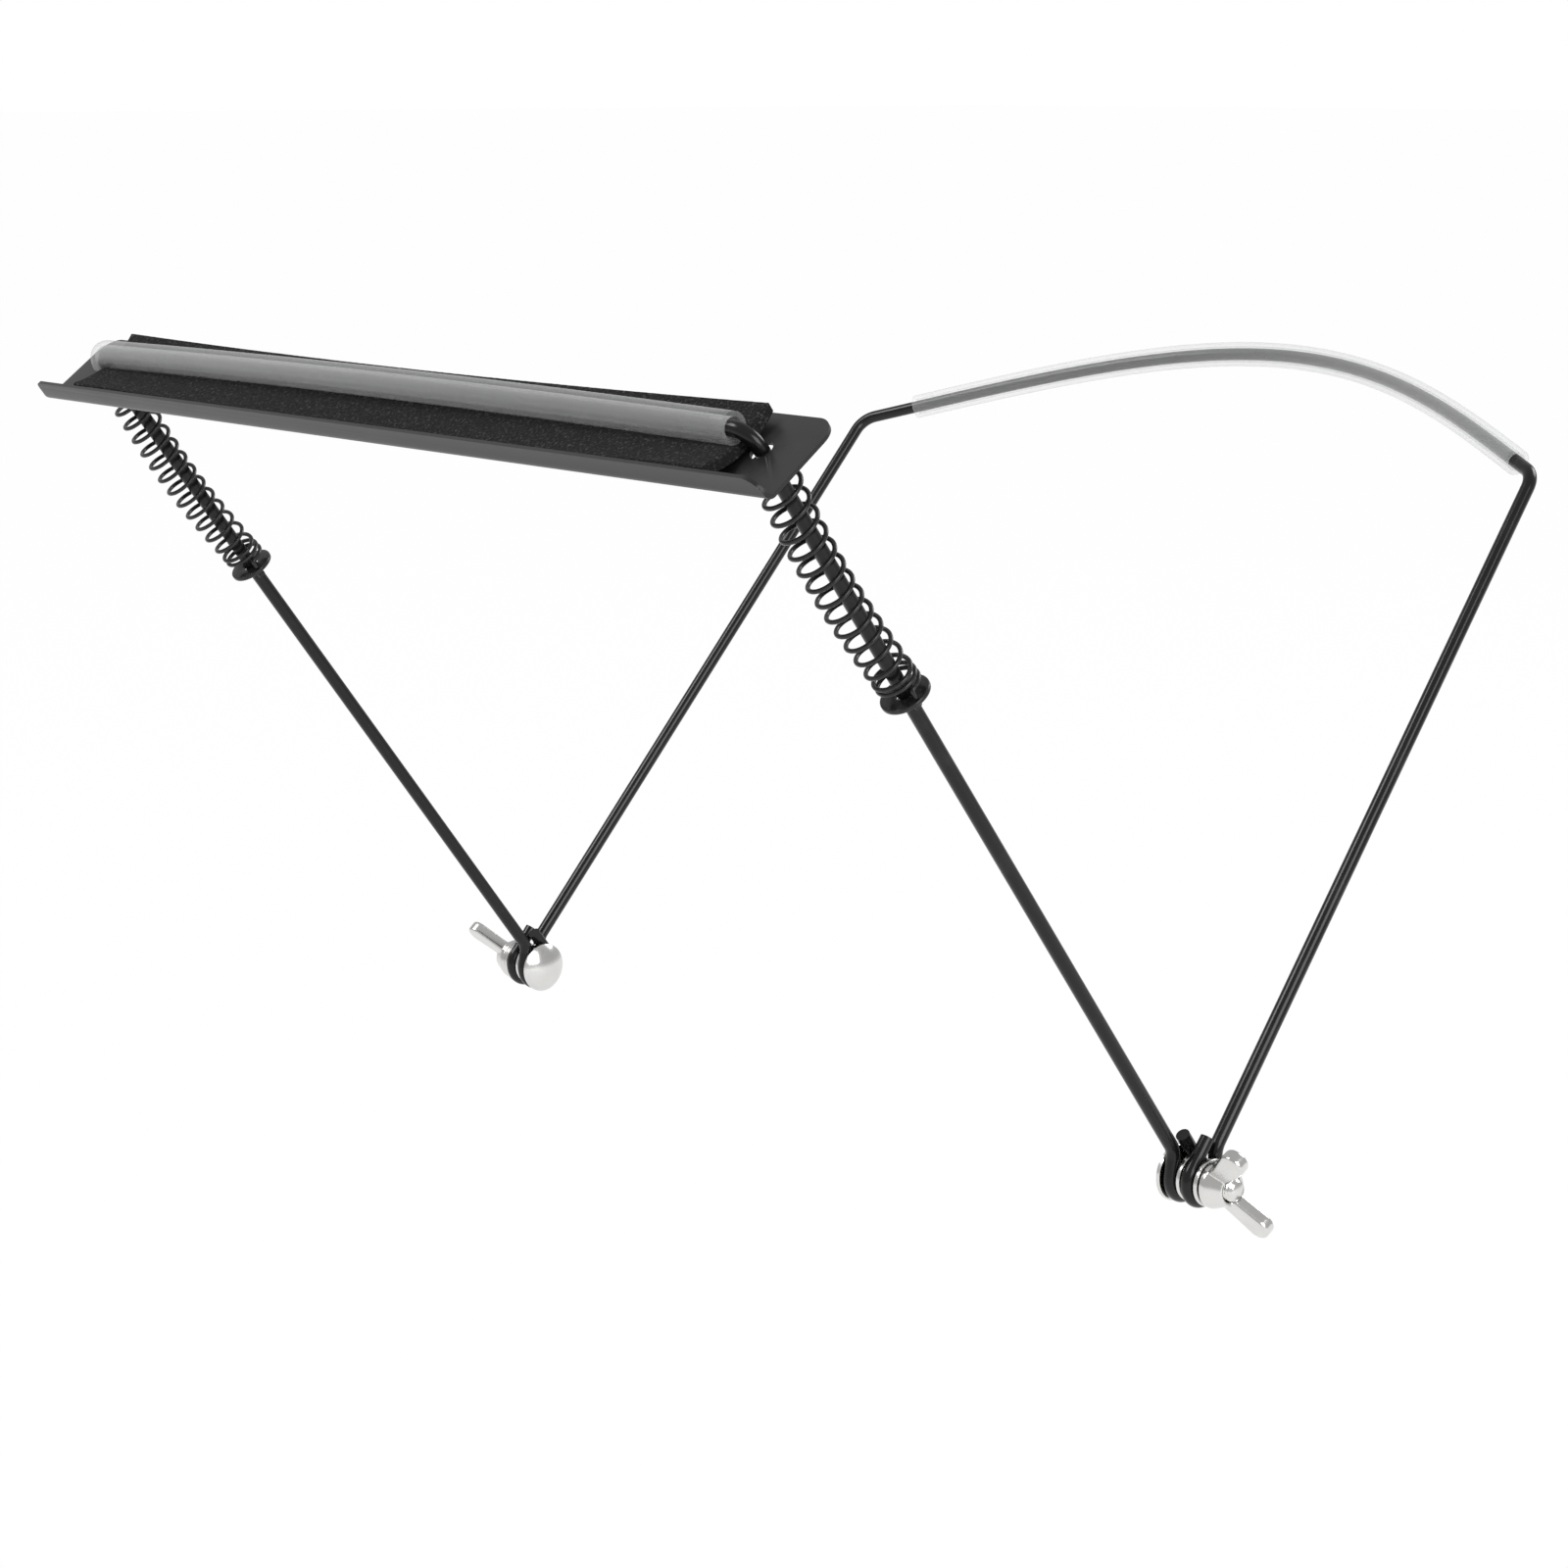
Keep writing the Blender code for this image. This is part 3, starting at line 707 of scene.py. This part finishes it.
def spring_steel_finish():
    """Blackened spring wire with drawing marks, half glossy with oil."""
    finish = Finish(bpy.data.materials.new("black_spring_steel"))
    streak = finish.grain(scale=1400, detail=3)
    finish.surface({
        "Base Color": finish.ramp(streak, [(0.3, wire_dark), (0.8, wire_pale)]),
        "Roughness": 0.16 + 0.12 * streak,
        "Normal": finish.bump(streak, strength=0.05, distance=0.05 * MM),
        "Specular IOR Level": 0.35,
    })
    return finish.owner


def spring_line():
    """Close curls at the foot, then an even pitch, with each end of the wire turned to its seat."""
    first = spring_seat + spring_lead
    last = spring_head - spring_lead
    open_pitch = (last - first - closed_curls * closed_pitch) / (spring_curls - closed_curls)
    points = []
    for curl in even(0, spring_curls, curl_points):
        rise = min(curl, closed_curls) * closed_pitch + max(curl - closed_curls, 0) * open_pitch
        angle = math.tau * curl
        sag = spring_sag * math.sin(math.pi * rise / (last - first))
        across = spring_radius * math.sin(angle) - sag
        points.append(Vector((spring_radius * math.cos(angle), across, first + rise)))
    end_reach = 2 * wire_radius
    end_bend = 0.8 * end_reach
    low = points[0] - (points[1] - points[0]).normalized() * end_reach
    high = points[-1] + (points[-1] - points[-2]).normalized() * end_reach
    corners = [(Vector((low.x, low.y, spring_seat)), 0.0), (low, end_bend)]
    corners += [(point, 0.0) for point in points]
    corners += [(high, end_bend), (Vector((high.x, high.y, spring_head)), 0.0)]
    return rounded(corners)


def turned(name, profile, place):
    """A half profile in (radius, height), turned round its axis into a closed shape."""
    shape = bmesh.new()
    points = [shape.verts.new((radius, 0, height)) for radius, height in profile]
    edges = [shape.edges.new(pair) for pair in zip(points, points[1:] + points[:1])]
    bmesh.ops.spin(
        shape, geom=points + edges, axis=(0, 0, 1), cent=(0, 0, 0), angle=math.tau,
        steps=turned_steps, use_merge=True,
    )
    bmesh.ops.remove_doubles(shape, verts=shape.verts, dist=weld_distance)
    bmesh.ops.recalc_face_normals(shape, faces=shape.faces)
    return shaped(name, shape, place)


def ring_profile(bore, outer, bottom, top, ease):
    """A flat ring's section with its four edges eased."""
    corners = [
        ((outer - ease, bottom + ease), -math.pi / 2),
        ((outer - ease, top - ease), 0.0),
        ((bore + ease, top - ease), math.pi / 2),
        ((bore + ease, bottom + ease), math.pi),
    ]
    points = []
    for centre, start in corners:
        points += arc(centre, ease, start, start + math.pi / 2, step=ease_step)
    return points


spring_steel = spring_steel_finish()
for side, name in ((-1, "left"), (1, "right")):
    leg = arm_place @ Matrix.Translation((side * arm_half, leg_inset, 0))
    profile = ring_profile(
        rod_radius + rod_clearance, collar_radius,
        collar_height - collar_thickness / 2, collar_height + collar_thickness / 2, collar_ease,
    )
    collar = turned("collar_" + name, profile, leg)
    fit(smooth_shade(collar), spring_steel, "arm", "black_steel", "spring_collar_" + name)
    coil = [leg @ p for p in spring_line()]
    spring = weld(sweep("coil_" + name, coil, wire_radius, wire_sides, spring_steel))
    fit(smooth_shade(spring), spring_steel, "arm", "black_steel", "spring_" + name)
    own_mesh(spring)

# The hinge bolts are bright nickelled M5 screws with a smooth domed head, which lies on the inner
# side. The thread shows where the shank stands out of the wing nut.
bolt_length = 16.0 * MM
bolt_head_radius = 6.0 * MM
bolt_head_height = 2.7 * MM
bolt_head_rim = 0.7 * MM
bolt_head_edge = 0.25 * MM
bolt_head_x = 106.2 * MM
bolt_chamfer = 0.7 * MM
thread_pitch = 0.8 * MM
thread_depth = 0.42 * MM
thread_start = 3.5 * MM
shank_overlap = 0.3 * MM
shank_rings = 300
shank_steps = 48
dome_steps = 24
nickel_dull = (0.62, 0.615, 0.60)
nickel_bright = (0.72, 0.715, 0.70)


def nickel_finish():
    """Bright nickel plate, barely scratched, a little duller in soft clouds."""
    finish = Finish(bpy.data.materials.new("nickel_plate"))
    cloud = finish.grain(scale=160, detail=4)
    scratch = finish.grain(scale=2200, detail=3, roughness=0.7)
    finish.surface({
        "Base Color": finish.ramp(cloud, [(0.3, nickel_dull), (0.8, nickel_bright)]),
        "Roughness": 0.1 + 0.12 * cloud + 0.05 * scratch,
        "Metallic": 1.0,
        "Normal": finish.bump(cloud + 0.1 * scratch, strength=0.12, distance=0.1 * MM),
    })
    return finish.owner


def axis_place(side):
    """A frame at the hinge whose Z points outward along that side's bolt."""
    return Matrix.Translation(hinge) @ Matrix.Rotation(side * math.pi / 2, 4, "Y")


def shank_radius(turn, height):
    """The shank's radius: plain, then a sharp helical thread, then a chamfer."""
    phase = (height / thread_pitch - turn / math.tau) % 1.0
    groove = thread_depth * abs(2 * phase - 1)
    blend = min(max((height - thread_start) / thread_pitch, 0.0), 1.0)
    end = bolt_radius - max(height - (bolt_length - bolt_chamfer), 0.0)
    return min(bolt_radius - blend * groove, end)


def threaded_shank(name, place):
    """A fine skin of rings whose radius follows the thread, closed at both ends."""
    shape = bmesh.new()
    rings = []
    for height in even(-shank_overlap, bolt_length, shank_rings):
        ring = []
        for i in range(shank_steps):
            turn = math.tau * i / shank_steps
            radius = shank_radius(turn, height)
            point = (radius * math.cos(turn), radius * math.sin(turn), height)
            ring.append(shape.verts.new(point))
        rings.append(ring)
    for low, high in zip(rings, rings[1:]):
        for i in range(shank_steps):
            after = (i + 1) % shank_steps
            shape.faces.new((low[i], low[after], high[after], high[i]))
    shape.faces.new(rings[0][::-1])
    shape.faces.new(rings[-1])
    return shaped(name, shape, place)


def head_profile():
    """The domed head's section: flat underside, short rim, dome."""
    rise = bolt_head_height - bolt_head_rim
    dome_radius = (bolt_head_radius ** 2 + rise ** 2) / (2 * rise)
    span = math.asin(bolt_head_radius / dome_radius)
    centre = (0, dome_radius - bolt_head_height)
    dome = arc(centre, dome_radius, span - math.pi / 2, -math.pi / 2, step=span / dome_steps)
    underside = [(0, 0), (bolt_head_radius - bolt_head_edge, 0)]
    return underside + [(bolt_head_radius, -bolt_head_edge)] + dome


nickel = nickel_finish()
for side, name in ((-1, "left"), (1, "right")):
    bolt_place = axis_place(side) @ Matrix.Translation((0, 0, bolt_head_x))
    head = turned("bolt_head_" + name, head_profile(), bolt_place)
    fit(smooth_shade(head), nickel, "yoke", "nickel", "bolt_" + name)
    shank = threaded_shank("bolt_shank_" + name, bolt_place)
    fit(smooth_shade(shank, degrees=60), nickel, "yoke", "nickel")

# Two plain nickelled washers sit on each bolt: one between the arm's hook and the yoke's, and one
# under the wing nut.
washer_radius = 5.0 * MM
washer_thickness = 1.0 * MM
washer_ease = 0.2 * MM
washer_clearance = 0.3 * MM
washer_bore = bolt_radius + washer_clearance
inner_washer_x = 109.8 * MM
outer_washer_x = 114.4 * MM

for side, name in ((-1, "left"), (1, "right")):
    washers = (("inner", inner_washer_x, "yoke"), ("outer", outer_washer_x, "washer_" + name))
    for kind, x, body in washers:
        profile = ring_profile(washer_bore, washer_radius, x, x + washer_thickness, washer_ease)
        washer = turned(kind + "_ring_" + name, profile, axis_place(side))
        fit(smooth_shade(washer), nickel, body, "nickel", kind + "_washer_" + name)

# The wing nuts are cast, so hub and wings run into each other with soft fillets. They clamp the
# hinge, and are left at the angles at which the photograph shows them.
nut_x = 115.7 * MM
nut_base_radius = 5.0 * MM
nut_base_thickness = 1.3 * MM
nut_base_chamfer = 0.3 * MM
nut_hub_radius = 3.5 * MM
nut_hub_height = 5.0 * MM
nut_turns = {"left": math.radians(-41.0), "right": math.radians(30.0)}
wing_root = Vector((2.9, 2.6)) * MM
wing_root_radius = 2.1 * MM
wing_tip = Vector((8.6, 8.8)) * MM
wing_tip_radius = 2.7 * MM
wing_thickness = 3.0 * MM
wing_ease = 0.6 * MM
cast_cell = 0.22 * MM
cast_softness = 0.5
cast_passes = 6
drill_length = 6 * nut_hub_height


def hub_profile():
    """The hub's section: a chamfered foot and a cone, with the bore's wall straight."""
    return [
        (washer_bore, 0), (nut_base_radius - nut_base_chamfer, 0),
        (nut_base_radius, nut_base_chamfer), (nut_base_radius, nut_base_thickness),
        (nut_hub_radius, nut_hub_height), (washer_bore, nut_hub_height),
    ]


def wing_outline():
    """One wing: two rounds, at its root and its tip, and the straight lines that touch both."""
    along = wing_tip - wing_root
    heading = math.atan2(along.y, along.x)
    flare = math.acos((wing_root_radius - wing_tip_radius) / along.length)
    far = arc(wing_tip, wing_tip_radius, heading - flare, heading + flare)
    near = arc(wing_root, wing_root_radius, heading + flare, heading + math.tau - flare)
    return far + near


def cast(thing):
    """Melts the joined shapes together: a fine even skin, smoothed so that inner corners fill."""
    skin = thing.modifiers.new("skin", "REMESH")
    skin.mode = "VOXEL"
    skin.voxel_size = cast_cell
    soften = thing.modifiers.new("soften", "SMOOTH")
    soften.factor = cast_softness
    soften.iterations = cast_passes
    plain_mesh(thing)


bore = arc((0, 0), washer_bore, 0, math.tau)[:-1]
for side, name in ((-1, "left"), (1, "right")):
    nut_turn = Matrix.Rotation(nut_turns[name], 4, "Z")
    stand = axis_place(side) @ Matrix.Translation((0, 0, nut_x)) @ nut_turn
    nut = turned("wing_nut_body_" + name, hub_profile(), stand)
    for half in (0.0, math.pi):
        upright = Matrix.Rotation(math.pi / 2, 4, "X")
        wing_place = stand @ Matrix.Rotation(half, 4, "Z") @ upright
        wing = prism("wing", wing_outline(), wing_thickness, wing_place)
        join_solid(nut, "UNION", ease_edges(wing, wing_ease, degrees=40, segments=3))
    cast(nut)
    join_solid(nut, "DIFFERENCE", prism("drill", bore, drill_length, stand))
    fit(smooth_shade(nut, degrees=50), nickel, "nut_" + name, "nickel", "wing_nut_" + name)

# The studio: a white paper floor below the arm's lowest reach, which still takes a soft shadow, a
# white room that lights the holder less than the camera sees it, and three large soft lamps.
floor_drop = 10 * MM
floor_half = 40.0
floor_paper = (0.9, 0.9, 0.9)
floor_white = 0.98
floor_in_metal = 0.35
room_light = 0.55


def ray(finish, kind):
    """One for rays of this kind, and nought for the others."""
    return finish.node("ShaderNodeLightPath", {}, {}, kind)


def floor_finish():
    """Paper for light and shadow, mixed with a white glow for what sees it directly."""
    finish = Finish(bpy.data.materials.new("studio_floor"))
    seen = (
        ray(finish, "Is Camera Ray") * floor_white + ray(finish, "Is Glossy Ray") * floor_in_metal
        + ray(finish, "Is Transmission Ray") * floor_white
    )
    glow = finish.node("ShaderNodeEmission", {}, {"Color": (1, 1, 1, 1), "Strength": 1.0})
    paper = finish.node("ShaderNodeBsdfDiffuse", {}, {"Color": (*floor_paper, 1)})
    mixed = finish.node("ShaderNodeMixShader", {}, {"Fac": seen, 1: paper, 2: glow})
    finish.feed(finish.tree.nodes["Material Output"].inputs["Surface"], mixed)
    return finish.owner


floor_shape = bmesh.new()
bmesh.ops.create_grid(floor_shape, x_segments=1, y_segments=1, size=floor_half)
floor_z = hinge.z - arm_height - floor_drop
floor = shaped("floor", floor_shape, Matrix.Translation((0, 0, floor_z)))
floor.data.materials.append(floor_finish())

room = Finish(bpy.data.worlds.new("studio"), "Background")
direct = room.node(
    "ShaderNodeMath", {"operation": "MAXIMUM"},
    {0: ray(room, "Is Camera Ray"), 1: ray(room, "Is Transmission Ray")},
)
levels = {"Value": direct, "To Min": room_light, "To Max": 1.0}
room.surface({"Color": (1, 1, 1, 1), "Strength": room.node("ShaderNodeMapRange", {}, levels)})
bpy.context.scene.world = room.owner


def soft_lamp(name, offset, size, power):
    """A square lamp at an offset from the hinge, turned to face it."""
    lamp = bpy.data.lights.new(name, "AREA")
    lamp.shape = "SQUARE"
    lamp.size = size
    lamp.energy = power
    thing = bpy.data.objects.new(name, lamp)
    thing.location = hinge + Vector(offset)
    thing.rotation_euler = (-Vector(offset)).to_track_quat("-Z", "Y").to_euler()
    bpy.context.scene.collection.objects.link(thing)


soft_lamp("key", offset=(-0.9, -1.2, 1.6), size=0.9, power=22)
soft_lamp("fill", offset=(1.6, -0.3, 0.7), size=1.0, power=16)
soft_lamp("back", offset=(0.3, 1.6, 1.2), size=0.9, power=14)

bpy.context.scene.view_settings.view_transform = "Standard"
